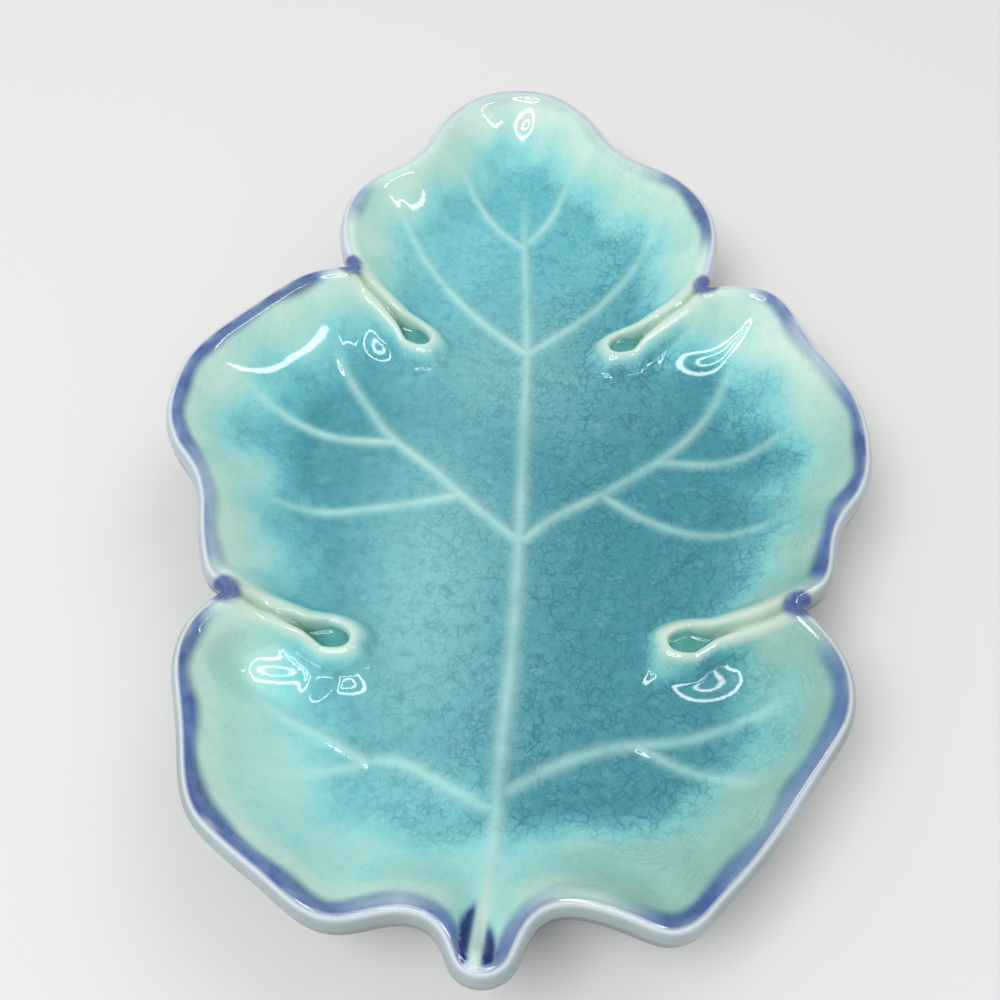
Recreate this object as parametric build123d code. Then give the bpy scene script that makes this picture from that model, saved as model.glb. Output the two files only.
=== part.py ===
from build123d import *

import math
import os

# A leaf-shaped ring dish in glazed stoneware: a pressed clay leaf on a luted foot ring, under
# a coat of glass that covers the inside and the outer wall and has pooled in the four pits at
# the inner ends of the clefts. The leaf lies flat with its tip towards +Y and its stalk
# towards -Y, and the origin is on the table under its middle. All sizes are in millimetres.

# Overall size, over the glaze
length = 150.0
width = 100.0
height = 18.0
stalk_width = 10.0

# Clay leaf
foot_height = 3.0
floor_thickness = 4.0
lip_radius = 1.35
lip_band = 3.4
inner_run = 17.0
inner_curve_power = 2.0
outer_run = 22.0
outer_curve_power = 1.7
underside_width = 50.0
underside_length = 90.0

# Glaze coat, which stops short of the foot
glaze_thickness = 0.4
glaze_line_share = 0.8

# Foot ring, a coil of bare clay
foot_ring_width = 46.0
foot_ring_length = 86.0
foot_ring_thickness = 3.6
foot_ring_edge = 0.8

# Folds of clay that close the four clefts between the lobes: round ridges that swell and fall
# from the rim to the pit
fold_mouth_radius = 1.9
fold_mouth_drop = 0.9
fold_mouth_inset = 2.5
fold_pit_radius = 3.3
fold_pit_crest = 3.5

# Groove along each fold, and the pit at its inner end
groove_half_width = 0.4
groove_depth = 1.6
groove_overrun = 6.0
pit_half_width = 1.45
pit_half_length = 2.6
pit_floor_thickness = 2.4
pool_depth = 3.9

# Veins, half sunk in the clay
midrib_radius = 1.05
midrib_end_radius = 0.74
side_vein_radius = 0.78
side_vein_end_radius = 0.6
branch_radius = 0.6
branch_end_radius = 0.52
vein_dive = 1.4
vein_step = 6.0
vein_sink = 0.06

# The rim's outer edge, clockwise, in runs, as shares of half the width and half the length.
# The run round the stalk's end is in shares of half the stalk's width instead.
stalk_run = 8
rim_run_shares = [
    [(-0.548, 0.383), (-0.575, 0.428), (-0.594, 0.49), (-0.592, 0.56), (-0.563, 0.62),
     (-0.495, 0.677), (-0.41, 0.725), (-0.36, 0.775)],
    [(-0.36, 0.775), (-0.328, 0.835), (-0.285, 0.895), (-0.215, 0.953), (-0.12, 0.99),
     (0.0, 1.0)],
    [(0.0, 1.0), (0.09, 0.985), (0.17, 0.945), (0.24, 0.885), (0.285, 0.828),
     (0.335, 0.777)],
    [(0.335, 0.777), (0.41, 0.738), (0.49, 0.706), (0.565, 0.655), (0.615, 0.59),
     (0.633, 0.52), (0.625, 0.453), (0.606, 0.397), (0.587, 0.352)],
    [(0.587, 0.352), (0.66, 0.358), (0.735, 0.355), (0.797, 0.333), (0.842, 0.287),
     (0.873, 0.23), (0.912, 0.17), (0.96, 0.11)],
    [(0.96, 0.11), (0.992, 0.045), (1.0, -0.035), (0.985, -0.11), (0.945, -0.172),
     (0.892, -0.22), (0.857, -0.275), (0.838, -0.33), (0.8, -0.369), (0.745, -0.393)],
    [(0.745, -0.393), (0.793, -0.433), (0.832, -0.48), (0.847, -0.54), (0.826, -0.6),
     (0.772, -0.657), (0.702, -0.72), (0.63, -0.785)],
    [(0.63, -0.785), (0.552, -0.845), (0.487, -0.889), (0.432, -0.922), (0.372, -0.934),
     (0.3, -0.922), (0.22, -0.906), (0.148, -0.902), (0.1, -0.915)],
    [(1.0, -0.915), (0.7, -0.945), (0.42, -0.981), (-0.23, -1.0), (-0.85, -0.984),
     (-1.12, -0.952), (-1.45, -0.928)],
    [(-0.145, -0.928), (-0.205, -0.92), (-0.28, -0.93), (-0.36, -0.935), (-0.432, -0.917),
     (-0.52, -0.876), (-0.61, -0.835)],
    [(-0.61, -0.835), (-0.688, -0.793), (-0.735, -0.735), (-0.76, -0.67), (-0.79, -0.6),
     (-0.813, -0.54), (-0.81, -0.485), (-0.778, -0.438), (-0.728, -0.402)],
    [(-0.728, -0.402), (-0.768, -0.384), (-0.803, -0.34), (-0.828, -0.28), (-0.85, -0.212),
     (-0.893, -0.153), (-0.958, -0.095)],
    [(-0.958, -0.095), (-0.995, -0.03), (-1.0, 0.04), (-0.983, 0.11), (-0.93, 0.177),
     (-0.845, 0.245), (-0.755, 0.312), (-0.677, 0.357), (-0.615, 0.374), (-0.548, 0.383)],
]

# The point that the wall of each lobe slopes down towards, and how many runs the lobe has
lobe_middle_shares = [(0.0, 0.25), (0.0, -0.05), (0.0, -0.5), (0.0, -0.05)]
lobe_run_counts = [4, 2, 5, 2]

# Each cleft's mouth in the rim and its pit, in the same shares
cleft_shares = {
    "upper_left": [(-0.548, 0.383), (-0.335, 0.278)],
    "upper_right": [(0.587, 0.352), (0.345, 0.27)],
    "lower_left": [(-0.728, -0.402), (-0.47, -0.434)],
    "lower_right": [(0.745, -0.393), (0.484, -0.42)],
}

# The veins from root to tip, in the same shares
midrib_share = [
    (-0.03, -0.955), (-0.03, -0.84), (-0.008, -0.66), (0.012, -0.48), (0.025, -0.21),
    (0.027, 0.08), (0.029, 0.262), (0.018, 0.45), (0.007, 0.62), (-0.002, 0.8),
]
side_vein_shares = [
    [(0.029, 0.262), (-0.096, 0.335), (-0.22, 0.427), (-0.352, 0.545), (-0.43, 0.64)],
    [(0.029, 0.262), (0.166, 0.342), (0.285, 0.425), (0.405, 0.537), (0.475, 0.63)],
    [(0.027, -0.209), (-0.062, -0.155), (-0.155, -0.1), (-0.265, -0.03), (-0.365, 0.026),
     (-0.455, 0.105), (-0.545, 0.197), (-0.59, 0.255)],
    [(0.027, -0.209), (0.12, -0.152), (0.226, -0.108), (0.345, -0.052), (0.452, 0.002),
     (0.558, 0.08), (0.642, 0.176), (0.688, 0.248)],
    [(-0.012, -0.72), (-0.108, -0.689), (-0.205, -0.656), (-0.302, -0.642),
     (-0.376, -0.657), (-0.455, -0.671), (-0.545, -0.678), (-0.61, -0.675)],
    [(0.0, -0.69), (0.137, -0.639), (0.232, -0.614), (0.339, -0.6), (0.455, -0.59),
     (0.551, -0.575), (0.66, -0.547), (0.72, -0.525)],
]
branch_shares = [
    [(0.009, 0.585), (-0.081, 0.642), (-0.17, 0.715), (-0.225, 0.785)],
    [(0.01, 0.6), (0.075, 0.655), (0.135, 0.732), (0.175, 0.8)],
    [(-0.155, -0.105), (-0.267, -0.123), (-0.409, -0.144), (-0.55, -0.158), (-0.66, -0.157),
     (-0.72, -0.15)],
    [(-0.362, 0.02), (-0.495, 0.02), (-0.621, 0.04), (-0.745, 0.08), (-0.82, 0.115)],
    [(0.259, -0.095), (0.404, -0.155), (0.56, -0.182), (0.69, -0.18), (0.76, -0.165)],
    [(0.43, -0.012), (0.587, -0.012), (0.717, 0.01), (0.81, 0.045)],
    [(-0.33, -0.648), (-0.471, -0.603), (-0.573, -0.574), (-0.64, -0.543)],
    [(0.339, -0.6), (0.45, -0.645), (0.54, -0.672), (0.61, -0.685)],
]

# Where the cross-sections are drawn: shares of a wall's run and angles round the lip
outer_wall_shares = [1.0, 0.8, 0.6, 0.35, 0.15, 0.0]
inner_wall_shares = [0.12, 0.3, 0.55, 0.8, 1.0]
lip_angles = [45, 90, 135]

# One side of a pit's outline: shares of its half length and half width, from the narrow end
pit_side_shares = [(-1.1, 0.3), (-0.5, 0.72), (0.2, 1.0), (0.8, 0.6), (1.0, 0.0)]

clay_floor_level = foot_height + floor_thickness
pit_floor_level = foot_height + pit_floor_thickness


def place(share, across=width):
    """The point in the plan at these shares of half the size across and half the length."""
    return Vector(share[0] * across / 2, share[1] * length / 2)


def at_level(point, level):
    return Vector(point.X, point.Y, level)


def clockwise_of(direction):
    """The unit direction in the plan that is square to this one, clockwise."""
    return Vector(direction.Y, -direction.X).normalized()


def between(first, second, share):
    return first + (second - first) * share


# The rim over the glaze as one closed list of points, and where each run starts in it
rim = []
for number, run in enumerate(rim_run_shares):
    run_width = stalk_width if number == stalk_run else width
    rim += [place(share, run_width) for share in run[:-1]]
run_starts = [sum(len(run) - 1 for run in rim_run_shares[:n]) for n in range(len(rim_run_shares))]
cleft_mouths = {rim.index(place(shares[0])): name for name, shares in cleft_shares.items()}


def drawn_in(points, distance):
    """The closed outline moved inwards, square to itself."""
    moved = []
    for before, here, after in zip(points[-1:] + points[:-1], points, points[1:] + points[:1]):
        along = (here - before).normalized() + (after - here).normalized()
        moved.append(here + clockwise_of(along) * distance)
    return moved


def towards_middle(points, distance):
    """The closed outline with each point moved straight towards the middle of the dish."""
    return [point * (1 - distance / point.length) for point in points]


def down_the_wall(points, distance):
    """The closed outline moved to the foot of the inner wall.

    Each point moves towards its own lobe's middle, and the mouth of a cleft moves along it.
    """
    middles = []
    for middle, count in zip(lobe_middle_shares, lobe_run_counts):
        middles += [place(middle)] * count
    moved = []
    for spot, point in enumerate(points):
        target = middles[max(n for n, start in enumerate(run_starts) if start <= spot)]
        if spot in cleft_mouths:
            target = place(cleft_shares[cleft_mouths[spot]][1])
        moved.append(point + (target - point).normalized() * distance)
    return moved


def outside_oval(points, oval_width, oval_length):
    """Each point, or the oval's point in its direction where that is further out."""
    kept = []
    for point in points:
        reach = math.hypot(2 * point.X / oval_width, 2 * point.Y / oval_length)
        kept.append(point / min(reach, 1))
    return kept


def blended(first, second, share):
    return [between(a, b, share) for a, b in zip(first, second)]


def runs_along(points):
    """How far along the line each point is, from 0 to 1."""
    run = [0.0]
    for a, b in zip(points, points[1:]):
        run.append(run[-1] + (b - a).length)
    return [value / run[-1] for value in run]


def end_direction(points, spot, inner):
    """The line's direction at a run's end, which is its own where a cleft breaks the rim."""
    count = len(points)
    if spot % count in cleft_mouths:
        step = 1 if inner > spot else -1
        along = (points[(spot + step) % count] - points[spot % count]) * step
    else:
        along = points[(spot + 1) % count] - points[(spot - 1) % count]
    return along.normalized()


def ring_wire(points, level):
    """A closed wire at one level, with one smooth curve for each run of the rim.

    Each curve passes its points at the same places along it at every level: the mean of the
    places on the rim and at the foot of the wall.
    """
    edges = []
    foot = down_the_wall(rim, inner_run)
    for start, end in zip(run_starts, run_starts[1:] + [len(rim)]):
        spots = [n % len(rim) for n in range(start, end + 1)]
        curve = [at_level(points[n], level) for n in spots]
        top_places = runs_along([rim[n] for n in spots])
        foot_places = runs_along([foot[n] for n in spots])
        places = [(a + b) / 2 for a, b in zip(top_places, foot_places)]
        first_speed = (curve[1] - curve[0]).length / (places[1] - places[0])
        last_speed = (curve[-1] - curve[-2]).length / (places[-1] - places[-2])
        ends = [
            end_direction(points, start, end) * first_speed,
            end_direction(points, end, start) * last_speed,
        ]
        edges.append(Edge.make_spline(curve, tangents=ends, parameters=places, scale=False))
    return Wire(edges)


def dish(skin, base_share):
    """The whole dish as one solid, a skin's thickness inside the glaze's surface.

    Three lofted walls, up the outside, over the lip and down the inside, are closed by the
    underside and the floor. base_share says how far in under the dish it starts.
    """
    outside = drawn_in(rim, skin)
    cover = glaze_thickness - skin
    underside = towards_middle(rim, outer_run - cover)
    underside = outside_oval(underside, underside_width + 2 * cover, underside_length + 2 * cover)
    under_level = foot_height - cover
    band_level = height - lip_band
    outer_wires = []
    for share in outer_wall_shares:
        if share <= base_share:
            level = between(under_level, band_level, (1 - share) ** outer_curve_power)
            outer_wires.append(ring_wire(blended(outside, underside, share), level))
    lip_centre = lip_radius + glaze_thickness
    lip_level = height - lip_centre
    roll = lip_centre - skin
    outer_wires.append(ring_wire(outside, lip_level))

    lip_wires = [outer_wires[-1]]
    for angle in lip_angles:
        turn = math.radians(angle)
        line = drawn_in(rim, lip_centre - roll * math.cos(turn))
        lip_wires.append(ring_wire(line, lip_level + roll * math.sin(turn)))
    inside = drawn_in(rim, lip_centre + roll)
    lip_wires.append(ring_wire(inside, lip_level))

    floor = down_the_wall(drawn_in(rim, 2 * lip_centre), inner_run)
    floor_level = clay_floor_level + cover
    inner_wires = [lip_wires[-1]]
    for share in inner_wall_shares:
        level = between(floor_level, lip_level, (1 - share) ** inner_curve_power)
        inner_wires.append(ring_wire(blended(inside, floor, share), level))

    faces = [Face(outer_wires[0]), Face(inner_wires[-1])]
    for wires in [outer_wires, lip_wires, inner_wires]:
        faces += Shell.make_loft(wires).faces()
    return Solid(Shell(faces))


def cleft_ends(name):
    """The middle of a fold's ridge, where it leaves the rim and where it holds the pit."""
    mouth, pit_middle = [place(share) for share in cleft_shares[name]]
    along = (pit_middle - mouth).normalized()
    mouth_crest = height - glaze_thickness - fold_mouth_drop
    pit_crest = clay_floor_level + fold_pit_crest
    start = at_level(mouth + along * fold_mouth_inset, mouth_crest - fold_mouth_radius)
    return start, at_level(pit_middle, pit_crest - fold_pit_radius)


def fold(name, extra):
    """The ridge of clay along one cleft, made thicker all round by extra."""
    start, end = cleft_ends(name)
    run = (end - start).length
    tip = end + (end - start).normalized() * (fold_pit_radius + extra)
    side = clockwise_of(end - start)
    root_edge = start + side * (fold_mouth_radius + extra)
    pit_edge = end + side * (fold_pit_radius + extra)
    halfway = end + ((end - start) / run + side).normalized() * (fold_pit_radius + extra)
    profile = Wire([
        Edge.make_line(start, root_edge),
        Edge.make_line(root_edge, pit_edge),
        Edge.make_three_point_arc(pit_edge, halfway, tip),
        Edge.make_line(tip, start),
    ])
    return Solid.revolve(Face(profile), 360, Axis(start, end - start))


def groove(name):
    """The tool that opens the narrow groove along a fold's crest, down to its pit."""
    start, end = cleft_ends(name)
    start, end = start + Vector(0, 0, fold_mouth_radius), end + Vector(0, 0, fold_pit_radius)
    slope = (end - start).normalized()
    outer, inner = start - slope * groove_overrun, end
    across = clockwise_of(slope) * groove_half_width
    down = Vector(0, 0, groove_depth)
    corners = [outer + across, inner + across, inner - across, outer - across]
    return Solid.extrude(Face(Wire.make_polygon([c - down for c in corners])), Vector(0, 0, height))


def pit_face(name, level):
    """The pit's teardrop outline at one level, its narrow end towards the cleft's mouth."""
    start, middle = cleft_ends(name)
    along = at_level(middle - start, 0).normalized()
    across = clockwise_of(along)
    sides = []
    for side in [-1, 1]:
        for forward, out in pit_side_shares:
            spot = middle + along * (pit_half_length * forward)
            sides.append(at_level(spot + across * (pit_half_width * out * side), level))
    right_side = sides[:len(pit_side_shares)]
    left_side = sides[len(pit_side_shares):]
    curve = right_side + left_side[-2::-1]
    return Face(Wire([Edge.make_spline(curve), Edge.make_line(curve[-1], curve[0])]))


def pit(name):
    """The tool that cuts the pit down through the fold into the floor."""
    return Solid.extrude(pit_face(name, pit_floor_level), Vector(0, 0, height))


def glaze_pool(name):
    """The thick glass that fills the bottom of one pit."""
    return Solid.extrude(pit_face(name, pit_floor_level), Vector(0, 0, pool_depth))


def surface_level(clay, point):
    """The height of the clay's upper surface at a point of the plan."""
    probe = Axis(at_level(point, 2 * height), (0, 0, -1))
    return max(spot.Z for spot, facing in clay.find_intersection_points(probe))


def vein(clay, shares, root_radius, end_radius):
    """A tapering half-sunk rib that follows the clay and dives into it at its tip."""
    plan = Edge.make_spline([place(share) for share in shares])
    steps = max(2, round(plan.length / vein_step))
    spots = [plan.position_at(n / steps) for n in range(steps + 1)]
    levels = [surface_level(clay, spot) - vein_sink for spot in spots]
    levels[-1] -= vein_dive * end_radius
    line = Edge.make_spline([at_level(a, b) for a, b in zip(spots, levels)])
    sections = []
    for n in range(steps + 1):
        across = Plane(origin=line.position_at(n / steps), z_dir=line.tangent_at(n / steps))
        radius = between(root_radius, end_radius, n / steps)
        sections.append(Wire.make_circle(radius, across))
    return Solid.make_loft(sections)


def veins(clay):
    """Every vein of the leaf."""
    ribs = [vein(clay, midrib_share, midrib_radius, midrib_end_radius)]
    for shares in side_vein_shares:
        ribs.append(vein(clay, shares, side_vein_radius, side_vein_end_radius))
    for shares in branch_shares:
        ribs.append(vein(clay, shares, branch_radius, branch_end_radius))
    return ribs


def cleft_tools():
    """Everything that is cut out along the four clefts."""
    return [tool(name) for name in cleft_shares for tool in (groove, pit)]


def leaf_body():
    """The clay leaf with its folds, veins, grooves and pits."""
    clay = dish(glaze_thickness, 1)
    ribs = veins(clay)
    for name in cleft_shares:
        clay = clay + fold(name, 0)
    for rib in ribs:
        clay = clay + rib
    return clay.cut(*cleft_tools())


def glaze_coat(clay):
    """The glass over the inside, the lip and the outer wall, broken by veins and pits."""
    glass = dish(0, glaze_line_share)
    for name in cleft_shares:
        glass = glass + fold(name, glaze_thickness)
    return glass.cut(clay, *cleft_tools())


def foot_ring():
    """The oval ring that the dish stands on, with its lower edges rounded."""
    outer = Face(Wire.make_ellipse(foot_ring_width / 2, foot_ring_length / 2))
    inner = Face(Wire.make_ellipse(
        foot_ring_width / 2 - foot_ring_thickness, foot_ring_length / 2 - foot_ring_thickness
    ))
    ring = Solid.extrude(outer - inner, Vector(0, 0, foot_height))
    return ring.fillet(foot_ring_edge, ring.edges().group_by(Axis.Z)[0])


def main():
    os.makedirs("parts", exist_ok=True)
    clay = leaf_body()
    parts = {"leaf_body": clay, "foot_ring": foot_ring(), "glaze_coat": glaze_coat(clay)}
    for name in cleft_shares:
        parts["glaze_pool_" + name] = glaze_pool(name)
    for name, part in parts.items():
        export_step(part, f"parts/{name}.step")


if __name__ == "__main__":
    main()
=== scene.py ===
# A leaf-shaped ring dish of glazed stoneware. Lengths are in millimetres until a mesh is made.
# The rim, clefts and veins are given in thousandths of half the dish's width and half its
# length, with the leaf's tip towards +Y, as in the part itself.

import math

import bpy
import numpy as np
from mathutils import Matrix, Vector
from mathutils.geometry import delaunay_2d_cdt


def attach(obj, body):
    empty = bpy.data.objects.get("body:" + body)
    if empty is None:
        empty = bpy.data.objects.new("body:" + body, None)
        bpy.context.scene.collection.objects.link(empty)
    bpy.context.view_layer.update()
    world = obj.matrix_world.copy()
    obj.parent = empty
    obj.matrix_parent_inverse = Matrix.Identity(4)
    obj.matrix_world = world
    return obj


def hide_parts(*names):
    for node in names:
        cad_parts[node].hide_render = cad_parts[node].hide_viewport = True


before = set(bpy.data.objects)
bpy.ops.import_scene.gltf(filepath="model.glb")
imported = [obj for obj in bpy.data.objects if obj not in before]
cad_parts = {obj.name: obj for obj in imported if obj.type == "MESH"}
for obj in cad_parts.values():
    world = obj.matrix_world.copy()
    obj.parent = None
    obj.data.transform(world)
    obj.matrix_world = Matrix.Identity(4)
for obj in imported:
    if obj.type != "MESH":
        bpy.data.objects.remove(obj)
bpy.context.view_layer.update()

mm = 0.001

# Overall size and the clay
length = 150.0
width = 100.0
height = 18.0
foot_height = 3.0
floor_level = 7.4
lip_roll = 1.75
lip_band = 3.4
lip_blend = 1.1
wall_start = 2.3
inner_run = 17.2
inner_curve_power = 2.0
outer_run = 22.0
outer_curve_power = 1.7
underside_width = 50.0
underside_length = 90.0
glaze_thickness = 0.4
glaze_line_share = 0.8
foot_ring_width = 46.0
foot_ring_length = 86.0
foot_ring_thickness = 3.6

# The rim's outer edge, clockwise, in runs; those of cleft_runs begin at a cleft's mouth
rim_runs = [
    [(-548, 383), (-575, 428), (-594, 490), (-592, 560), (-563, 620), (-495, 677), (-410, 725),
     (-360, 775)],
    [(-360, 775), (-328, 835), (-285, 895), (-215, 953), (-120, 990), (0, 1000)],
    [(0, 1000), (90, 985), (170, 945), (240, 885), (285, 828), (335, 777)],
    [(335, 777), (410, 738), (490, 706), (565, 655), (615, 590), (633, 520), (625, 453),
     (606, 397), (587, 352)],
    [(587, 352), (660, 358), (735, 355), (797, 333), (842, 287), (873, 230), (912, 170),
     (960, 110)],
    [(960, 110), (992, 45), (1000, -35), (985, -110), (945, -172), (892, -220), (857, -275),
     (838, -330), (800, -369), (745, -393)],
    [(745, -393), (793, -433), (832, -480), (847, -540), (826, -600), (772, -657), (702, -720),
     (630, -785)],
    [(630, -785), (552, -845), (487, -889), (432, -922), (372, -934), (300, -922), (220, -906),
     (148, -902), (100, -915)],
    [(100, -915), (70, -945), (42, -981), (-23, -1000), (-85, -984), (-112, -952), (-145, -928)],
    [(-145, -928), (-205, -920), (-280, -930), (-360, -935), (-432, -917), (-520, -876),
     (-610, -835)],
    [(-610, -835), (-688, -793), (-735, -735), (-760, -670), (-790, -600), (-813, -540),
     (-810, -485), (-778, -438), (-728, -402)],
    [(-728, -402), (-768, -384), (-803, -340), (-828, -280), (-850, -212), (-893, -153),
     (-958, -95)],
    [(-958, -95), (-995, -30), (-1000, 40), (-983, 110), (-930, 177), (-845, 245), (-755, 312),
     (-677, 357), (-615, 374), (-548, 383)],
]
cleft_runs = [0, 4, 6, 11]

# How strongly the blue was brushed on at each of those points
brushed_strengths = [
    [0.1, 0, 0.1, 0.5, 0.45, 0.1, 0, 0.05],
    [0.05, 0.15, 0.2, 0.25, 0.3, 0.3],
    [0.3, 0.3, 0.3, 0.3, 0.3, 0.2],
    [0.2, 0.25, 0.5, 0.9, 1, 0.9, 0.3, 0, 0.1],
    [0.1, 0.05, 0.35, 0.75, 0.75, 0.5, 0.4, 0.45],
    [0.45, 0.8, 1, 1, 0.85, 0.65, 0.8, 1, 0.3, 0],
    [0, 0.15, 0.55, 0.7, 0.7, 0.6, 0.6, 0.5],
    [0.5, 0.6, 0.9, 1, 1, 0.5, 0.15, 0.3, 0.5],
    [0.5, 0.8, 0.8, 0.6, 0.8, 0.9, 0.7],
    [0.7, 0.5, 0.65, 0.9, 0.9, 0.85, 0.85],
    [0.85, 0.9, 1, 0.8, 0.85, 1, 1, 0.5, 0],
    [0, 0.3, 0.5, 0.6, 0.55, 0.6, 0.75],
    [0.75, 0.8, 0.85, 0.85, 0.85, 0.85, 1, 1, 0.35, 0.1],
]

# Each cleft's mouth in the rim and its pit
clefts = {
    "upper_left": [(-548, 383), (-335, 278)],
    "upper_right": [(587, 352), (345, 270)],
    "lower_left": [(-728, -402), (-470, -434)],
    "lower_right": [(745, -393), (484, -420)],
}

# The veins from root to tip
midrib = [
    (-34, -955), (-18, -840), (-4, -660), (12, -480), (25, -210), (27, 80), (29, 262), (18, 450),
    (7, 620), (-2, 800),
]
side_veins = [
    [(29, 262), (-96, 335), (-220, 427), (-352, 545), (-430, 640)],
    [(29, 262), (166, 342), (285, 425), (405, 537), (475, 630)],
    [(27, -209), (-62, -155), (-155, -100), (-265, -30), (-365, 26), (-455, 105), (-545, 197),
     (-590, 255)],
    [(27, -209), (120, -152), (226, -108), (345, -52), (452, 2), (558, 80), (642, 176),
     (688, 248)],
]
low_veins = [
    [(-12, -720), (-108, -689), (-205, -656), (-302, -642), (-376, -657), (-455, -671),
     (-545, -678), (-610, -675)],
    [(0, -690), (137, -639), (232, -614), (339, -600), (455, -590), (551, -575), (660, -547),
     (720, -525)],
]
branches = [
    [(9, 585), (-81, 642), (-170, 715), (-225, 785)],
    [(10, 600), (75, 655), (135, 732), (175, 800)],
    [(-155, -105), (-267, -123), (-409, -144), (-550, -158), (-660, -157), (-720, -150)],
    [(-362, 20), (-495, 20), (-621, 40), (-745, 80), (-820, 115)],
    [(259, -95), (404, -155), (560, -182), (690, -180), (760, -165)],
    [(430, -12), (587, -12), (717, 10), (810, 45)],
    [(-330, -648), (-471, -603), (-573, -574), (-640, -543)],
    [(339, -600), (450, -645), (540, -672), (610, -685)],
]

# A vein's height at root and tip, and its half width at both
midrib_form = (0.62, 0.36, 1.35, 0.9)
side_vein_form = (0.4, 0.22, 1.0, 0.85)
low_vein_form = (0.13, 0.12, 1.0, 0.85)
branch_form = (0.3, 0.15, 0.9, 0.75)
vein_fade_shares = (0.86, 1.0)
vein_tip_cover = 0.75
vein_search_gap = 5

# Ridges along the clefts, their grooves and pits
ridge_mouth_drop = 1.0
ridge_pit_crest = 10.9
ridge_crest_gap = 0.9
ridge_fall = 0.5
ridge_reach = 3.0
ridge_skirt = 5.0
lobe_skirt = 8.5
skirt_drop = 0.3
ridge_blend = 1.4
ridge_mouth_gap = 0.6
skirt_blend = 0.5
groove_half_width = 0.5
groove_depth = 0.5
pit_half_width = 1.2
pit_half_length = 2.6
pit_waist_share = 0.62
pit_bottom_level = 5.6
pit_edge = (-0.9, 0.8)
pool_level = 9.5
pool_rise = 0.7
pool_drop = 0.15
pool_share = 0.98
notch_place = 0.6
notch_radius = 2.2

# Low hills of the pressed clay: height, size, seed, and how far inside the rim they come up
broad_hills = (0.1, 17, 3, (6, 14))
small_hills = (0.015, 7, 5, (3, 6))

# Shallow saucers: the middle, half sizes, level, lean and curve of each
saucers = [
    ((26.1, -36.5), (5.4, 3.4), 8.5, (0.2, 0.34), (0.033, 0.06)),
    ((-21.8, 19.3), (3.6, 2.8), 9.4, (-0.03, 0.6), (0.045, 0.05)),
    ((-29.3, -37.8), (4.6, 3.2), 9.9, (-0.08, 0.33), (0.028, 0.1)),
]
saucer_clearance = (1.6, 4.2)
saucer_rim_clearance = (2.6, 5.6)

# The mesh: the spacing of points on the rim and over the dish
fine_spacing = 0.05
rim_rounding = 0.4
station_spacing = 0.46
mouth_spacing = 0.14
mouth_reach = (1.6, 4)
vein_spacing = 0.45
lip_angles = [0, 14, 30, 47, 64, 80, 97, 114]
lip_follow_angles = (0, 60)
fine_grid = 0.3
coarse_grid = 0.6
vein_reach = 1.9
cleft_reach = 4.2
edge_reach = 4.4
edge_clearance = 0.2
wall_row_shares = [0, 0.02, 0.06, 0.12, 0.2, 0.3, 0.42, 0.55, 0.68, glaze_line_share]
glaze_edge_lift = 0.35
leaf_cap_level = 5.0
clay_wall_shares = [0.7, 0.8, 0.88, 0.95, 1]
clay_floor_shares = [0.9, 0.7, 0.45, 0.2]
clay_cap_lift = 0.8
clay_cap_share = 0.9
raster_step = 1.0
raster_counts = (int(width / raster_step) + 5, int(length / raster_step) + 5)
raster_start = -np.array(raster_counts) * raster_step / 2
nowhere = 99.0
least_square_gap = 0.25

# How deep the glass looks, away from the rim and from the ridges
rim_start = 1.5
rim_reach = 18
bottom_reach = 27
bottom_part = (1, (44, 30), (-48, -66))
lower_left_reach = 29
lower_left_part = (1, (-5, -30), (-28, -45))
# Where the lower right turns greyer and deeper in colour: older glass, and partly painted shade
aged_and_shaded_span = (25, 65)
aged_and_shaded_tilt = 0.9
aged_and_shaded_reach_cut = 3.5
ridge_start = 1.2
ridge_depth = 0.2
ridge_reaches = (5.5, 4.2)

# Thinner and deeper glass in parts of the plan: an amount, a span of x and a span of y
any_x = (-99, -98)
thinner_parts = [
    [(0.34, any_x, (12, 42)), (0.15, (0, -20), (5, 25))],
    [(0.2, (-13, -27), (-22, -38))],
    [(0.38, (4, -6), (-44, -54))],
]
deeper_parts = [(0.16, any_x, (0, -50)), (0.08, any_x, (-45, -62))]
deeper_patch = (0.22, (33, 22), (8, 8))
deeper_rise = (3, 7)

# The painted reflection in the middle, the painted light on the tip and on a patch, and the right
# side, with more crazing and darker partly as painted shade
reflection_left_middle = (-11, -26)
reflection_left_sizes = (11, 15, 33)
reflection_upper_middle = (0.9, (1, 16), (18, 16))
reflection_rise = (9, 18)
painted_light_tip = (0.6, any_x, (56, 70))
painted_light_patch = (0.8, (41, 15), (6, 8))
crazed_and_shaded_span = (-18, 14)
crazed_and_shaded_tilt = 0.15
aged_and_shaded_side_span = (-4, 24)

# The lip, the brushed band behind it, the root and the strokes beside it
lip_edge = (1.2, 2.0)
# A thin white line along the lip's crest: pale glaze breaking white, and partly a painted
# highlight
lip_line_gap = 1.0
lip_line_width = 0.3
band_start = (1.2, 1.5)
band_end = (2.4, 3.5)
crest_gap = 0.95
crest_half_width = 1.15
# The lip greys towards the near, lower side: painted shade
grey_lip_span = (5, -55)
grey_lip_tilt = 0.3
grey_lip_middle = -10
root_foot = (-1.45, -68)
root_tilt = 0.09
root_colour_span = (-56, -70)
root_side_width = 3.2
root_side_depth = 0.34
root_side_rise = (-50, -58)
root_side_end = (-72, -68)
root_bare_width = 0.9
root_bare_span = (-64, -67)
stroke_tops = (-64.8, -67.2)
stroke_fade = 3
stroke_taper = 5
stroke_breadths = (0.9, 2.1)
stroke_inner_edge = (0.3, 1.2)
stroke_foot = (-72.6, -73.8)

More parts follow.
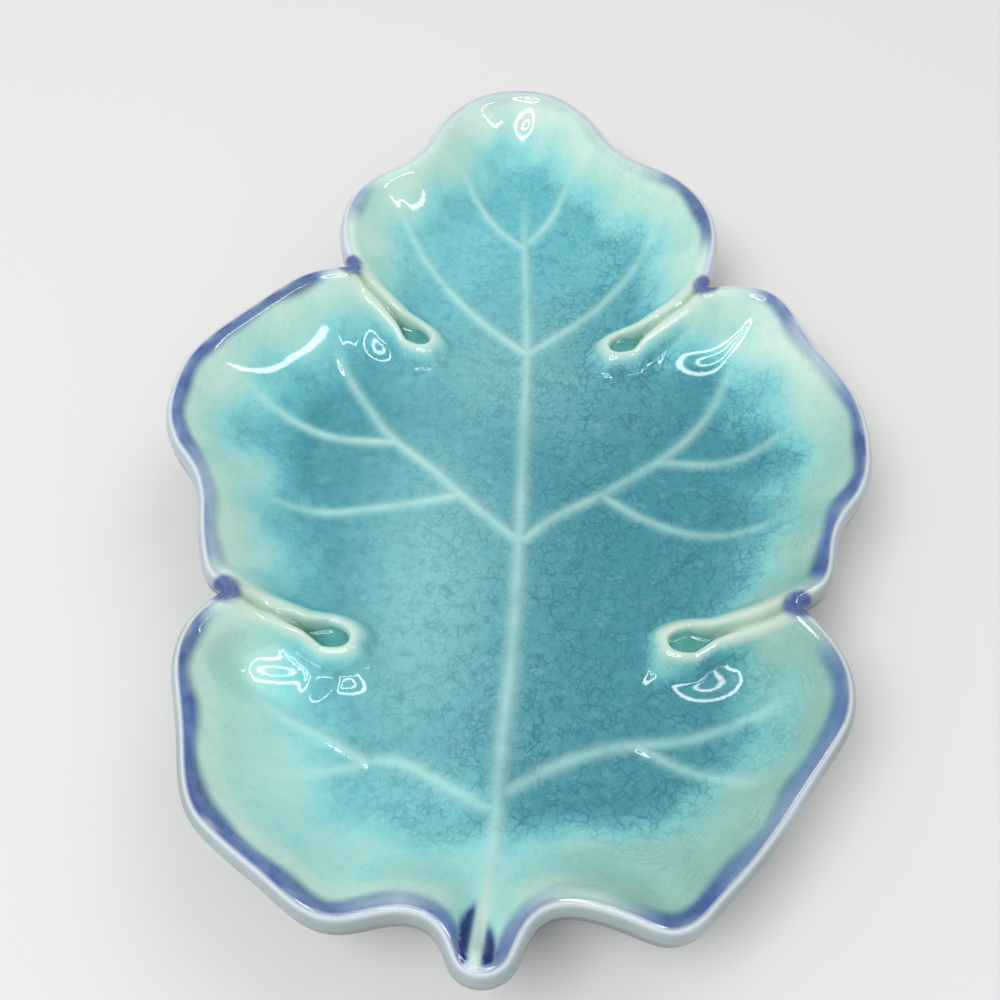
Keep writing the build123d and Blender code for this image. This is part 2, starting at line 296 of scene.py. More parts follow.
# Colours as eight-bit screen values
cream = (228, 233, 216)
pale_mint = (211, 241, 228)
mint = (182, 230, 220)
light_turquoise = (146, 220, 221)
turquoise = (106, 191, 201)
teal = (66, 146, 160)
# A paler teal for the painted reflection in the middle
painted_reflection_teal = (142, 206, 209)
vein_mint = (182, 228, 222)
# A near-white mint painted as light on the tip and on a patch
painted_light_mint = (236, 250, 240)
root_cream = (204, 222, 210)
cobalt = (44, 80, 158)
cobalt_dark = (8, 24, 92)
lip_lavender = (190, 203, 219)
# The grey of the near side of the lip: painted shade
shaded_lip_grey = (150, 168, 168)
# White along the lip's crest: thin glaze, and partly a painted highlight
white_line_and_highlight = (226, 233, 238)
crack_teal = (40, 110, 126)
pit_green = (84, 158, 152)
groove_olive = (160, 180, 146)
# A greyer mint on the lower right: older glass, and partly painted shade
aged_and_shaded_mint = (134, 180, 168)
# A darker teal on the right: stained crazing, and partly painted shade
crazed_and_shaded_teal = (66, 138, 152)
ripple_grey = (112, 158, 152)
glass_stops = [
    (0, pale_mint), (0.14, mint), (0.38, light_turquoise), (0.66, turquoise), (1, teal),
]
# The outer wall's grey-green glaze, darkened as painted shade
shaded_outer_glaze_stops = [(0.2, (84, 100, 104)), (0.5, (106, 124, 126)), (0.8, (74, 92, 104))]
clay_stops = [(0.2, (184, 168, 146)), (0.55, (206, 192, 170)), (0.85, (222, 210, 190))]
pool_stops = [(0.3, (70, 142, 140)), (0.7, (90, 166, 160))]

# The crackle: cell size, thickness and seed of two nets, their bends, and the wrinkles
wide_crackle = (1.8, 0.26, 3.0)
fine_crackle = (1.0, 0.2, 11.0)
crackle_bends = ((0.9, 1.7), (0.35, 0.5))
crackle_flattening = 0.35
wrinkle_pitch = 1.5
wrinkle_breadth = 0.035
ripple_rate = 10.5

# The room, in metres and watts
floor_reach = 3.0
floor_colour = (0.78, 0.78, 0.78)
world_strength = 0.42
window_lamp = ((-0.30, -0.28, 0.80), 0.5, 5.0)
room_lamp = ((0.35, 0.45, 0.8), 0.6, 1.9)
ring_place = (-0.06, -0.13, 0.42)
outer_ring = (0.105, 0.030)
inner_ring = (0.038, 0.014)
arc_places = [
    (0.29, -0.01, 0.237), (0.255, -0.014, 0.283), (0.233, -0.018, 0.305), (0.214, -0.026, 0.32),
    (0.206, -0.045, 0.328), (0.192, -0.068, 0.333), (0.148, -0.11, 0.347),
]
arc_breadth = 0.022
arc_spacing = 0.004
arc_taper = (0.35, math.pi - 0.2)
arc_aim = (0, 0, 0.01)
glow_strength = 15.0
camera_place = (0.001641, -0.093716, 0.134)
camera_turns = (34, 0, 2.3)
camera_lens = 37.8


def in_plan(shares):
    """Points in the plan, in millimetres, from thousandths of half the width and length."""
    return np.array(shares) / 1000 * (width / 2, length / 2)


def ease(low, high, value):
    """0 below low, 1 above high and a smooth rise in between."""
    share = np.clip((value - low) / (high - low), 0, 1)
    return share * share * (3 - 2 * share)


def between(first, second, share):
    return first + (second - first) * share


def norms(ways):
    """The lengths of ways, one in each row."""
    return np.linalg.norm(ways, axis=1)


def distances_along(points):
    steps = norms(np.diff(points, axis=0))
    return np.concatenate([[0], np.cumsum(steps)])


def curve_through(points, spacing, first_way=None, last_way=None):
    """Close points on a smooth curve through points, and their places along it."""
    points = np.asarray(points, float)
    places = distances_along(points)
    gaps = np.diff(places)
    slopes = np.diff(points, axis=0) / gaps[:, None]
    count = len(points)
    system = np.eye(count)
    right = np.zeros_like(points)
    right[0] = slopes[0] if first_way is None else first_way / np.linalg.norm(first_way)
    right[-1] = slopes[-1] if last_way is None else last_way / np.linalg.norm(last_way)
    for n in range(1, count - 1):
        system[n, n - 1:n + 2] = gaps[n], 2 * (gaps[n - 1] + gaps[n]), gaps[n - 1]
        right[n] = 3 * (gaps[n] * slopes[n - 1] + gaps[n - 1] * slopes[n])
    ways = np.linalg.solve(system, right)
    at = np.linspace(0, places[-1], max(2, int(round(places[-1] / spacing)) + 1))
    span = np.clip(np.searchsorted(places, at, side="right") - 1, 0, count - 2)
    u = ((at - places[span]) / gaps[span])[:, None]
    gap = gaps[span][:, None]
    near, far = points[span], points[span + 1]
    bend = (1 - u) ** 2 * (1 + 2 * u) * near + u ** 2 * (3 - 2 * u) * far
    return bend + gap * u * (1 - u) * ((1 - u) * ways[span] - u * ways[span + 1]), at


def round_the_rim():
    """The rim as a fine closed line, and how strongly it was brushed blue."""
    runs = [in_plan(run) for run in rim_runs]
    lines, strengths = [], []
    for n, run in enumerate(runs):
        before, after = runs[n - 1], runs[(n + 1) % len(runs)]
        first_way = run[1] - (run[0] if n in cleft_runs else before[-2])
        last_way = (run[-1] if (n + 1) % len(runs) in cleft_runs else after[1]) - run[-2]
        line, at = curve_through(run, fine_spacing, first_way, last_way)
        lines.append(line[:-1])
        strengths.append(np.interp(at, distances_along(run), brushed_strengths[n])[:-1])
    line, strength = np.concatenate(lines), np.concatenate(strengths)
    reach = int(3 * rim_rounding / fine_spacing)
    weights = np.exp(-0.5 * (np.arange(-reach, reach + 1) * fine_spacing / rim_rounding) ** 2)
    weights /= weights.sum()
    around = np.arange(-reach, len(line) + reach) % len(line)
    rounded = [np.convolve(line[around, axis], weights, "valid") for axis in range(2)]
    return np.stack(rounded, axis=1), strength


def rim_stations(line):
    """Which points of the fine line the mesh uses: closer together at the mouths."""
    mouths = np.array([in_plan(shares[0]) for shares in clefts.values()])
    gap = np.linalg.norm(line[:, None] - mouths[None], axis=2).min(axis=1)
    spacing = between(mouth_spacing, station_spacing, ease(*mouth_reach, gap))
    steps = norms(np.roll(line, -1, axis=0) - line) / spacing
    total = np.concatenate([[0], np.cumsum(steps)])
    count = int(round(total[-1]))
    wanted = np.arange(count) * total[-1] / count
    return np.unique(np.searchsorted(total, wanted))


def in_batches(function, points, batch=4000):
    results = [function(points[n:n + batch]) for n in range(0, len(points), batch)]
    return [np.concatenate(result) for result in zip(*results)]


def squared_gaps(points, others):
    """The squared distance from each point to each of the others."""
    squares = (points ** 2).sum(axis=1)[:, None] + (others ** 2).sum(axis=1)
    return squares - 2 * points @ others.T


def gap_to_piece(points, first, last):
    """How far each point is from its own straight piece, and the share along it."""
    along = last - first
    offset = points - first
    share = np.clip((offset * along).sum(axis=1) / (along ** 2).sum(axis=1), 0, 1)
    return norms(offset - share[:, None] * along), share


# Scales the sixth-power mean of distances so that it is true beside a straight rim
soft_constant = 3 * math.pi / 8


def rim_fields(points):
    """The distance to the rim, the same rounded off in corners, the blue and the side."""
    squares = squared_gaps(points, rim)
    near = squares.argmin(axis=1)
    weights = rim_step / np.maximum(squares, least_square_gap) ** 3
    soft = (weights.sum(axis=1) / soft_constant) ** -0.2
    exact = np.full(len(points), np.inf)
    blue = np.zeros(len(points))
    for step in (-1, 1):
        other = (near + step) % len(rim)
        gap, share = gap_to_piece(points, rim[near], rim[other])
        closer = gap < exact
        exact[closer] = gap[closer]
        blue[closer] = between(brushed[near], brushed[other], share)[closer]
    inside = ((points - rim[near]) * inward[near]).sum(axis=1) > 0
    return exact, soft, blue, inside


def cleft_axes(shares):
    """A cleft's mouth, pit and length, and the ways along it and beside it."""
    mouth, pit = in_plan(shares)
    run = np.linalg.norm(pit - mouth)
    along = (pit - mouth) / run
    return mouth, pit, run, along, np.array([along[1], -along[0]])


def cleft_fields(points):
    """For each cleft: how far points are along it and beside it, its length, and how squarely
    they lie on the stalk's side of it.
    """
    fields = []
    for shares in clefts.values():
        mouth, _, run, along, side = cleft_axes(shares)
        ahead, beside = (points - mouth) @ along, (points - mouth) @ side
        nearest = mouth + np.clip(ahead, 0, run)[:, None] * along
        offset = points - nearest
        towards_stalk = -offset[:, 1] / np.maximum(norms(offset), 0.01)
        fields.append((ahead, beside, run, towards_stalk))
    return fields


def soft_maximum(first, second, blend):
    """The larger of two levels, with a fillet where they meet."""
    share = np.clip(0.5 + 0.5 * (first - second) / blend, 0, 1)
    return between(second, first, share) + blend * share * (1 - share)


def pit_distance(along, beside, run):
    """About how far outside the teardrop pit a point is."""
    forward = along - run
    waist = pit_waist(forward / pit_half_length)
    half_width = pit_half_width * waist
    reach = np.hypot(forward / pit_half_length, beside / half_width)
    slope = np.hypot(forward / pit_half_length ** 2, beside / half_width ** 2)
    return reach * (reach - 1) / np.maximum(slope, 1e-6)


def pit_waist(forward):
    """How wide the teardrop is, as a share, from its narrow end to its round front."""
    return np.where(forward < 0, np.clip(1 + pit_waist_share * forward, 0.2, 1), 1.0)


def vein_pieces():
    """All the veins in fine pieces: the starts, ends, heights, half widths and covers."""
    groups = [
        ([midrib], midrib_form), (side_veins, side_vein_form),
        (low_veins, low_vein_form), (branches, branch_form),
    ]
    forms = [(shares, form) for group, form in groups for shares in group]
    pieces = []
    for shares, (root_tall, tip_tall, root_broad, tip_broad) in forms:
        line, at = curve_through(in_plan(shares), vein_spacing)
        share = (at / at[-1])[:-1]
        fade = 1 - ease(*vein_fade_shares, share)
        tall = between(root_tall, tip_tall, share) * fade
        cover = between(1.0, vein_tip_cover, share) * fade
        pieces.append((line[:-1], line[1:], tall, between(root_broad, tip_broad, share), cover))
    return [np.concatenate(part) for part in zip(*pieces)]


def vein_fields(points):
    """The veins' height, how much each point is vein, and how far it is from one."""
    starts, ends, tall, broad, shown = veins
    gap = np.sqrt(np.clip(squared_gaps(points, (starts + ends) / 2), 0, None))
    near = gap.argmin(axis=1)
    exact, _ = gap_to_piece(points, starts[near], ends[near])
    squares = gap ** 2 / broad ** 2
    rise = (tall * np.exp(-1.5 * squares)).max(axis=1)
    cover = (shown * np.exp(-1.1 * squares)).max(axis=1)
    return rise, cover, exact


def hills(points, size, seed):
    """Smooth low hills, mostly from -1 to 1, about size millimetres across."""
    random = np.random.default_rng(seed)
    total = np.zeros(len(points))
    for _ in range(7):
        way = random.uniform(0, math.tau)
        pitch = size * random.uniform(0.75, 1.35)
        shift = random.uniform(0, math.tau)
        wave = points @ (math.cos(way), math.sin(way))
        total += np.sin(wave * math.tau / pitch + shift)
    return total / 3.5


def wall_level(exact, rounded):
    """The level of the lip and the inner wall, before the ridges and the veins."""
    before_crest = np.clip(lip_roll - exact, 0, lip_roll)
    lip = height - lip_roll + np.sqrt(lip_roll ** 2 - before_crest ** 2)
    fall = np.minimum((rounded - wall_start) / inner_run, 1)
    wall = between(floor_level, height, (1 - fall) ** inner_curve_power)
    return -soft_maximum(-lip, -wall, lip_blend)


def with_ridges(points, level):
    """The level with a ridge around each cleft, and what is known about the clefts."""
    count = len(points)
    hairpin, pit = np.full(count, nowhere), np.full(count, nowhere)
    ridge_share, groove, notch = np.zeros(count), np.zeros(count), np.zeros(count)
    for along, beside, run, towards_stalk in cleft_fields(points):
        share = np.clip(along / run, 0, 1)
        past = np.maximum(np.maximum(along - run, -along), 0)
        from_line = np.hypot(np.maximum(abs(beside) - groove_half_width * 0.6, 0), past)
        from_pit = pit_distance(along, beside, run)
        gap = np.minimum(from_line, from_pit)
        crest = between(height - ridge_mouth_drop, ridge_pit_crest, share ** 1.15)
        bead = crest - ridge_fall * np.maximum(gap - ridge_crest_gap, 0) ** 2
        skirt_width = between(ridge_skirt, lobe_skirt, ease(-0.1, 0.8, towards_stalk))
        skirt_rise = np.clip(1 - gap / skirt_width, 0, 1) ** 2
        skirt = floor_level + (crest - skirt_drop - floor_level) * skirt_rise
        wanted = along > ridge_mouth_gap
        on_skirt = wanted & (gap < skirt_width)
        level = np.where(on_skirt, soft_maximum(level, skirt, skirt_blend), level)
        on_ridge = wanted & (gap < ridge_reach)
        level = np.where(on_ridge, soft_maximum(level, bead, ridge_blend), level)
        closer = gap < hairpin
        hairpin[closer] = gap[closer]
        ridge_share[closer] = share[closer]
        inside = ease(-1.5, -0.2, along) * (1 - ease(run - 1.5, run, along))
        groove = np.maximum(groove, np.exp(-((beside / groove_half_width) ** 2)) * inside)
        pit = np.minimum(pit, from_pit)
        from_notch = np.hypot(along - notch_place, beside) / notch_radius
        notch = np.maximum(notch, np.exp(-(from_notch ** 2)))
    known = {"hairpin": hairpin, "share": ridge_share, "groove": groove, "pit": pit}
    return level, {**known, "notch": notch}


def with_saucers(points, level, exact, hairpin):
    """The level with the saucers laid in, clear of the rim and the ridges."""
    clear = ease(*saucer_rim_clearance, exact)
    for middle, half_sizes, middle_level, lean, curve in saucers:
        offset = points - middle
        reach = norms(offset / half_sizes)
        saucer = middle_level + offset @ lean + offset ** 2 @ curve / 2
        share = (1 - ease(0.8, 1.8, reach)) * ease(*saucer_clearance, hairpin)
        level = between(level, saucer, share * clear)
    return level


def surface(points):
    """The level of the glazed surface, and the fields that colour it."""
    exact, soft, blue, _ = in_batches(rim_fields, points)
    rise, cover = np.zeros(len(points)), np.zeros(len(points))
    near_vein = coarse_gap(points)[1] < vein_search_gap
    rise[near_vein], cover[near_vein], _ = in_batches(vein_fields, points[near_vein])
    rounded = between(exact, soft, ease(2.5, 9, exact))
    level = wall_level(exact, rounded)
    for (tall, size, seed, span), gap in ((broad_hills, rounded), (small_hills, exact)):
        level = level + tall * hills(points, size, seed) * ease(*span, gap)
    level, fields = with_ridges(points, level)
    level = with_saucers(points, level, exact, fields["hairpin"])
    level = level + rise * ease(0.4, 1.4, fields["hairpin"])
    level = level - groove_depth * fields["groove"]
    level = between(level, pit_bottom_level, 1 - ease(*pit_edge, fields["pit"]))
    fields.update({"rim_gap": exact, "soft_gap": rounded, "blue": blue, "vein": cover})
    return level, fields


def cleft_gap(points):
    """How far each point is from the nearest cleft's line."""
    return np.min([
        np.hypot(beside, np.maximum(np.maximum(-along, along - run), 0))
        for along, beside, run, _ in cleft_fields(points)
    ], axis=0)


def make_raster():
    """On a coarse grid, the rim's distance, negative outside it, and the veins'."""
    grid = raster_start + raster_step * np.indices(raster_counts).reshape(2, -1).T
    exact, _, _, inside = in_batches(rim_fields, grid)
    rim_gap, vein_gap = np.where(inside, exact, -exact), in_batches(vein_fields, grid)[2]
    return [values.reshape(raster_counts) for values in (rim_gap, vein_gap)]


def coarse_gap(points):
    """The rim's and the veins' distances read from the coarse grid."""
    place = (points - raster_start) / raster_step
    low = np.clip(np.floor(place).astype(int), 0, np.array(raster_counts) - 2)
    u, v = (place - low).T
    i, j = low.T
    return [
        between(between(grid[i, j], grid[i + 1, j], u),
                between(grid[i, j + 1], grid[i + 1, j + 1], u), v)
        for grid in raster
    ]


def hexagonal(spacing):
    """Points of an even triangular grid over the dish."""
    rows = []
    tall = spacing * math.sqrt(3) / 2
    for n in range(int(length / tall) + 2):
        xs = np.arange(-width / 2 + (n % 2) * spacing / 2, width / 2, spacing)
        rows.append(np.stack([xs, np.full(len(xs), -length / 2 + n * tall)], axis=1))
    return np.concatenate(rows)


def top_points():
    """Points inside the last row of the lip, fine where there is form."""
    last = lip_roll * (1 - math.cos(math.radians(lip_angles[-1])))
    chosen = []
    for spacing, wants_form in ((fine_grid, True), (coarse_grid, False)):
        points = hexagonal(spacing)
        edge, vein = coarse_gap(points)
        points, edge, vein = (values[edge > last - 1.2] for values in (points, edge, vein))
        form = (vein < vein_reach) | (cleft_gap(points) < cleft_reach) | (edge < edge_reach)
        points = points[form == wants_form]
        exact, _, _, inside = in_batches(rim_fields, points)
        chosen.append(points[inside & (exact > last + edge_clearance)])
    return np.concatenate(chosen)


def closed_strip(rows, count):
    """Four-sided faces between closed rows of vertices, given by their first indices."""
    around = np.arange(count)
    after = np.roll(around, -1)
    faces = []
    for upper, lower in zip(rows, rows[1:]):
        faces.append(np.stack([upper + around, upper + after, lower + after, lower + around], 1))
    return np.concatenate(faces)


def circle(count):
    """Points evenly round a circle with a radius of 1."""
    turn = np.arange(count) * math.tau / count
    return np.stack([np.cos(turn), np.sin(turn)], axis=1)


def fan(start, count, tip):
    """Triangles from a closed row of count vertices to one more vertex."""
    return [(start + n, start + (n + 1) % count, tip) for n in range(count)]


def closed_body(rows, last_tip, first_tip):
    """A body of closed rows, with fans over the last and the first: vertices and faces."""
    count = len(rows[0])
    vertices = np.concatenate(rows + [np.array([last_tip, first_tip])])
    faces = closed_strip(range(0, len(rows) * count, count), count).tolist()
    faces += fan((len(rows) - 1) * count, count, len(vertices) - 2)
    faces += [(after, before, tip) for before, after, tip in fan(0, count, len(vertices) - 1)]
    return vertices, faces


def new_piece(name, vertices, faces, fields, materials, kinds=None):
    """A smooth mesh in metres, with values for its vertices and kinds for its faces."""
    mesh = bpy.data.meshes.new(name)
    mesh.from_pydata((np.asarray(vertices) * mm).tolist(), [], faces)
    for field, values in fields.items():
        layer = mesh.attributes.new(field, "FLOAT", "POINT")
        layer.data.foreach_set("value", np.asarray(values, np.float32))
    for material in materials:
        mesh.materials.append(material)
    if kinds:
        mesh.polygons.foreach_set("material_index", kinds)
    mesh.shade_smooth()
    mesh.validate()
    piece = linked(name, mesh)
    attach(piece, "root")
    return piece


# The rim, the veins and the coarse grid, worked out once
rim_line, rim_brushed = round_the_rim()
stations = rim_stations(rim_line)
rim = rim_line[stations]
brushed = rim_brushed[stations]
rim_way = np.roll(rim_line, -4, axis=0) - np.roll(rim_line, 4, axis=0)
rim_way = (rim_way / norms(rim_way)[:, None])[stations]
inward = np.stack([rim_way[:, 1], -rim_way[:, 0]], axis=1)
rim_step = norms(np.roll(rim, -1, axis=0) - np.roll(rim, 1, axis=0)) / 2
veins = vein_pieces()
raster = make_raster()


class Nodes:
    """A material under construction."""

    def __init__(self, name):
        self.material = bpy.data.materials.new(name)
        self.material.use_nodes = True
        self.tree = self.material.node_tree
        self.shader = self.tree.nodes["Principled BSDF"]

    def join(self, inputs, node):
        """Gives a node's inputs other nodes' outputs, plain values or eight-bit colours."""
        for key, value in inputs.items():
            socket = node.inputs[key]
            if isinstance(value, bpy.types.NodeSocket):
                self.tree.links.new(value, socket)
            elif socket.type == "RGBA":
                socket.default_value = (*linear(value), 1)
            else:
                socket.default_value = value

    def add(self, kind, inputs, output=0, **settings):
        node = self.tree.nodes.new("ShaderNode" + kind)
        for key, value in settings.items():
            setattr(node, key, value)
        self.join(inputs, node)
        return node.outputs[output]

    def math(self, operation, *values):
        return self.add("Math", dict(enumerate(values)), operation=operation)

    def times(self, first, *others):
        for other in others:
            first = self.math("MULTIPLY", first, other)
        return first

    def scaled(self, value, factor, shift):
        return self.math("MULTIPLY_ADD", value, factor, shift)

    def field(self, name):
        """One of the values that the mesh holds at each vertex."""
        return self.add("Attribute", {}, "Fac", attribute_name=name)

    def place(self):
        return self.add("TexCoord", {}, "Object")

    def rise(self, value, span, to=(0, 1)):
        """A smooth change from one number to another over a span."""
        inputs = dict(enumerate((value, *span, *to)))
        return self.add("MapRange", inputs, interpolation_type="SMOOTHSTEP")

    def mix(self, share, first, second):
        return self.add("Mix", {0: share, 6: first, 7: second}, 2, data_type="RGBA")

    def noise(self, scale, detail, roughness=0.55, distortion=0, where=None, output=0):
        """Cloudy values with this many clouds to a metre."""
        where = self.place() if where is None else where
        return self.add("TexNoise", {
            "Vector": where, "Scale": scale, "Detail": detail, "Roughness": roughness,
            "Distortion": distortion,
        }, output)

    def ramp(self, value, stops):
        node = self.tree.nodes.new("ShaderNodeValToRGB")
        self.join({0: value}, node)
        elements = node.color_ramp.elements
        while len(elements) < len(stops):
            elements.new(0.5)
        for element, (place, colour) in zip(elements, stops):
            element.position = place
            element.color = (*linear(colour), 1)
        return node.outputs[0]

    def finished(self, colour, roughness, **bump):
        """The material with this colour and roughness, and bumps if there are any."""
        inputs = {"Base Color": colour, "Roughness": roughness}
        if bump:
            inputs["Normal"] = self.add("Bump", bump)
        self.join(inputs, self.shader)
        return self.material


def linear(colour):
    """A colour for a shader from its eight-bit screen values."""
    values = [channel / 255 for channel in colour]
    return tuple(v / 12.92 if v <= 0.04045 else ((v + 0.055) / 1.055) ** 2.4 for v in values)


def crackle(nodes, cell, thickness, seed):
    """Thin bent lines between the cells of a net, 1 on a line and 0 off it."""
    cell = cell * mm
    where = nodes.place()
    for reach, pitch in crackle_bends:
        bend = nodes.noise(1 / (pitch * cell), 2, 0.5, where=where, output="Color")
        inputs = {0: bend, 1: (cell * reach,) * 3, 2: where}
        where = nodes.add("VectorMath", inputs, operation="MULTIPLY_ADD")
    flat = nodes.add("Mapping", {
        "Vector": where, "Scale": (1, 1, crackle_flattening), "Location": (seed, seed * 0.7, 0),
    })
    net = {"Vector": flat, "Scale": 1 / cell}
    from_edge = nodes.add("TexVoronoi", net, "Distance", feature="DISTANCE_TO_EDGE")
    cloud = nodes.noise(0.6 / cell, 2)
    breadth = nodes.rise(cloud, (0.35, 0.7), (0.02, thickness * mm / cell))
    return nodes.rise(from_edge, (0, breadth), (1, 0))


def wrinkles(nodes):
    """Short wavy lines where a cloudy value crosses its middle."""
    cloud = nodes.noise(1 / (wrinkle_pitch * mm), 1.5, roughness=0.5, distortion=0.7)
    from_middle = nodes.math("ABSOLUTE", nodes.math("ADD", cloud, -0.5))
    return nodes.rise(from_middle, (0, wrinkle_breadth), (1, 0))


def glass_colour(nodes, depth, crazed_and_shaded, older_and_shaded, cloud):
    """The glass, pale where it is thin and teal where it is deep, with painted light, a painted
    reflection in the middle and painted shade on the right.
    """
    wobble = nodes.times(nodes.scaled(cloud, 0.3, -0.15), nodes.rise(depth, (0.05, 0.5)))
    deep = nodes.math("ADD", depth, wobble)
    deep = nodes.math("ADD", deep, nodes.scaled(nodes.noise(1100, 3), 0.16, -0.08))
    colour = nodes.ramp(deep, glass_stops)
    # Painted light: near-white where the glass is thin, on the tip and on a patch
    painted_light = nodes.times(nodes.field("painted_light"), nodes.rise(depth, (0, 0.45), (0.8, 0)))
    # Greyer where the glass is older, on the lower right, partly as painted shade
    aged_and_shaded = nodes.times(older_and_shaded, nodes.rise(cloud, (0.25, 0.7), (0.55, 0.85)))
    dark_flakes = nodes.rise(nodes.noise(640, 4, 0.65), (0.52, 0.36))
    light_flakes = nodes.rise(nodes.noise(430, 3), (0.5, 0.66))
    for share, tint in (
        (painted_light, painted_light_mint),
        # painted reflection: a paler teal in the middle
        (nodes.times(nodes.field("painted_reflection"), 0.9), painted_reflection_teal),
        # older glass, greyer partly as painted shade
        (nodes.times(aged_and_shaded, nodes.rise(depth, (0, 0.9), (1, 0.15))), aged_and_shaded_mint),
        # stained crazing on the right, darker partly as painted shade
        (nodes.times(crazed_and_shaded, nodes.rise(depth, (0.5, 1), (0, 0.45))), crazed_and_shaded_teal),
        (nodes.times(dark_flakes, nodes.rise(depth, (0.1, 0.8), (0.04, 0.2))), crack_teal),
        (nodes.times(light_flakes, nodes.rise(depth, (0.1, 0.7), (0.04, 0.08))), vein_mint),
    ):
        colour = nodes.mix(share, colour, tint)
    return colour


def crackle_share(nodes, depth, crazed_and_shaded):
    """How dark the crackle is: two nets and short wrinkles, strongest in deep glass."""
    broken = nodes.rise(nodes.noise(420, 2), (0.4, 0.56))
    patches = nodes.rise(nodes.noise(75, 2), (0.4, 0.62), (0.35, 1))
    wide = nodes.rise(nodes.noise(300, 3), (0.36, 0.56), (0.15, 1))
    wide = nodes.times(crackle(nodes, *wide_crackle), wide)
    fine = nodes.times(crackle(nodes, *fine_crackle), broken, patches)
    short = nodes.times(wrinkles(nodes), broken, 0.8)
    lines = nodes.math("MAXIMUM", nodes.math("MAXIMUM", wide, fine), short)
    strong = nodes.scaled(crazed_and_shaded, 0.42, 0.2)
    return nodes.times(lines, nodes.rise(depth, (0.15, 0.85), (0.1, 1)), strong)


def ripple_share(nodes, older_and_shaded, cloud):
    """Faint lines that follow the rim where the glass is older."""
    swing = nodes.times(cloud, 26.0)
    lines = nodes.math("SINE", nodes.scaled(nodes.field("soft_gap"), ripple_rate, swing))
    patches = nodes.rise(nodes.noise(230, 2), (0.48, 0.62), (0, 0.22))
    return nodes.times(nodes.rise(lines, (0.2, 1)), patches, nodes.rise(older_and_shaded, (0.3, 0.9)))


def with_veins_and_rim(nodes, colour, crazed_and_shaded):
    """The glass with its veins and ridges, the lip, greyed on its near side by painted shade, and
    the blue brushed over them.
    """
    patches = nodes.rise(nodes.noise(170, 2), (0.2, 0.7), (0.6, 0.95))
    vein = nodes.times(nodes.field("vein"), patches, nodes.scaled(crazed_and_shaded, -0.3, 1))
    grey = nodes.rise(nodes.noise(60, 2), (0.3, 0.6), (0.5, 1))
    # The lip, grey on the near side as painted shade
    lip = nodes.mix(nodes.times(nodes.field("lower"), grey), lip_lavender, shaded_lip_grey)
    streak = nodes.rise(nodes.noise(260, 3), (0.25, 0.7), (0.95, 0.8))
    blue = nodes.times(nodes.field("cobalt"), streak)
    blue = nodes.math("MAXIMUM", blue, nodes.field("stalk"))
    for share, tint in (
        (vein, vein_mint),
        (nodes.times(nodes.field("root"), 0.8), root_cream),
        (nodes.field("cream"), cream),
        (nodes.times(nodes.field("olive"), 0.75), groove_olive),
        (nodes.field("pitted"), pit_green),
        (nodes.field("lip"), lip),
        # the lip's white line, partly a painted highlight
        (nodes.times(nodes.field("lip_line_and_highlight"), 0.85), white_line_and_highlight),
        (blue, nodes.mix(nodes.field("dark"), cobalt, cobalt_dark)),
    ):
        colour = nodes.mix(share, colour, tint)
    return colour


def glaze_material():
    nodes = Nodes("crackle_glaze")
    depth, crazed_and_shaded, older_and_shaded = (nodes.field(name) for name in ("depth", "crazed_and_shaded", "aged_and_shaded"))
    cloud = nodes.noise(120, 4)
    colour = glass_colour(nodes, depth, crazed_and_shaded, older_and_shaded, cloud)
    colour = nodes.mix(crackle_share(nodes, depth, crazed_and_shaded), colour, crack_teal)
    colour = nodes.mix(ripple_share(nodes, older_and_shaded, cloud), colour, ripple_grey)
    colour = with_veins_and_rim(nodes, colour, crazed_and_shaded)
    return nodes.finished(
        colour, 0.06, Strength=0.1, Distance=0.0001, Height=nodes.noise(420, 2))


def cloudy_material(name, clouds, stops, roughness, **bump):
    """A material in the colours of these stops, its bumps, if any, where its clouds are."""
    nodes = Nodes(name)
    cloud = nodes.noise(*clouds)
    if bump:
        bump["Height"] = cloud
    return nodes.finished(nodes.ramp(cloud, stops), roughness, **bump)


def patch(plan, amount, middle, size):
    """The amount in the middle of a soft oval and 0 far from it."""
    return amount * np.exp(-(((plan - middle) / size) ** 2).sum(axis=1))


def parts(plan, *rows):
    """The sum of the parts of the plan in these rows."""
    x, y = plan.T
    return sum(amount * ease(*x_span, x) * ease(*y_span, y) for amount, x_span, y_span in rows)


def aged_and_shaded_share(plan):
    """How far points are towards the lower right, where the glass is older and darkened partly by
    painted shade.
    """
    x, y = plan.T
    return ease(*aged_and_shaded_span, x - aged_and_shaded_tilt * y)


def from_root(plan):
    """How far points are to the right of the midrib's root."""
    x, y = plan.T
    return x - root_foot[0] - root_tilt * (y - root_foot[1])


def glass_depth(plan, soft, hairpin, share):
    """How deep the glass looks, from 0 where it is pale to 1 on the open floor."""
    x, y = plan.T
    ragged = hills(plan, 13, 21) * 1.3 + hills(plan, 5, 8) * 0.5
    bottom = parts(np.column_stack([abs(x), y]), bottom_part)
    reach = between(rim_reach, bottom_reach, bottom)
    reach = between(reach, lower_left_reach, parts(plan, lower_left_part))
    # Deeper colour nearer the rim on the lower right, partly painted shade
    reach = reach - aged_and_shaded_reach_cut * aged_and_shaded_share(plan) * (1 - bottom)
    depth = ease(rim_start, reach, soft + ragged)
    from_ridge = ease(ridge_start, between(*ridge_reaches, share), hairpin + ragged * 0.35)
    depth = np.minimum(depth, between(ridge_depth, 1.0, from_ridge))
    for rows in thinner_parts:
        depth = np.minimum(depth, 1 - parts(plan, *rows))
    deeper = parts(plan, *deeper_parts) + patch(plan, *deeper_patch)
    depth = np.maximum(depth, deeper * ease(*deeper_rise, soft))
    root_side = np.exp(-((from_root(plan) / root_side_width) ** 2))
    root_side *= ease(*root_side_rise, y) * ease(*root_side_end, y)
    return np.maximum(depth, root_side_depth * root_side)


